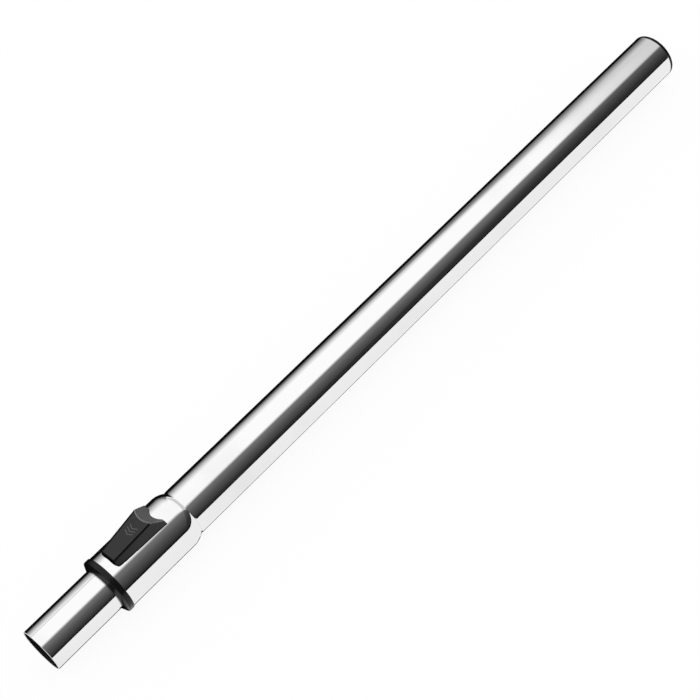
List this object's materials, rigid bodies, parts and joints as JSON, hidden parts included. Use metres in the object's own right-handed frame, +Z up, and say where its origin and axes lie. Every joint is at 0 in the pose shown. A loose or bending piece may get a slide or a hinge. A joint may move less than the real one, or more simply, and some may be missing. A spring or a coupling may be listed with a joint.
{
  "type": "telescopic vacuum wand",
  "caption": "Chrome telescopic suction wand, pushed together, with a thumb-button lock in a wider collar, an open handle end and a plain tool end.",
  "frame": {"origin": "centre of the handle mouth, on the tubes' common axis", "axes": "+X along the tubes towards the tool end, +Z up with the thumb button on top, +Y completes the right-handed frame"},
  "size_m": [0.63, 0.0423, 0.0488],
  "materials": {
    "chrome": "bright chrome plate on drawn steel tube",
    "rim_plastic": "black moulded plastic",
    "ring_plastic": "black moulded plastic with a slight gloss",
    "button_plastic": "black moulded plastic with a fine grain",
    "guide_plastic": "natural grey acetal",
    "seal_rubber": "soft black rubber",
    "lock_steel": "ground steel pin and spring wire"
  },
  "bodies": {
    "outer_assembly": {"outer_tube": "chrome", "handle_end_bush": "rim_plastic", "guide_sleeve": "guide_plastic", "end_ring": "ring_plastic", "wiper_seal": "seal_rubber", "return_spring": "lock_steel"},
    "inner_assembly": {"inner_tube": "chrome", "glide_ring": "guide_plastic"},
    "button_assembly": {"thumb_button": "button_plastic", "lock_slide": "guide_plastic"},
    "pin_assembly": {"lock_pin": "lock_steel"}
  },
  "joints": [
    {"name": "extension_slide", "type": "slide", "parent": "outer_assembly", "child": "inner_assembly", "axis": [1, 0, 0], "range_m": [0, 0.396]},
    {"name": "button_slide", "type": "slide", "parent": "outer_assembly", "child": "button_assembly", "axis": [1, 0, 0], "range_m": [0, 0.0045], "stiffness_N_per_m": 800, "springref_m": -0.004, "deforming": ["return_spring"]},
    {"name": "pin_lift", "type": "slide", "parent": "outer_assembly", "child": "pin_assembly", "axis": [0, 0, 1], "range_m": [0, 0.0016]}
  ],
  "couplings": [
    {"joint": "pin_lift", "follows": "button_slide", "ratio": 0.35555}
  ]
}
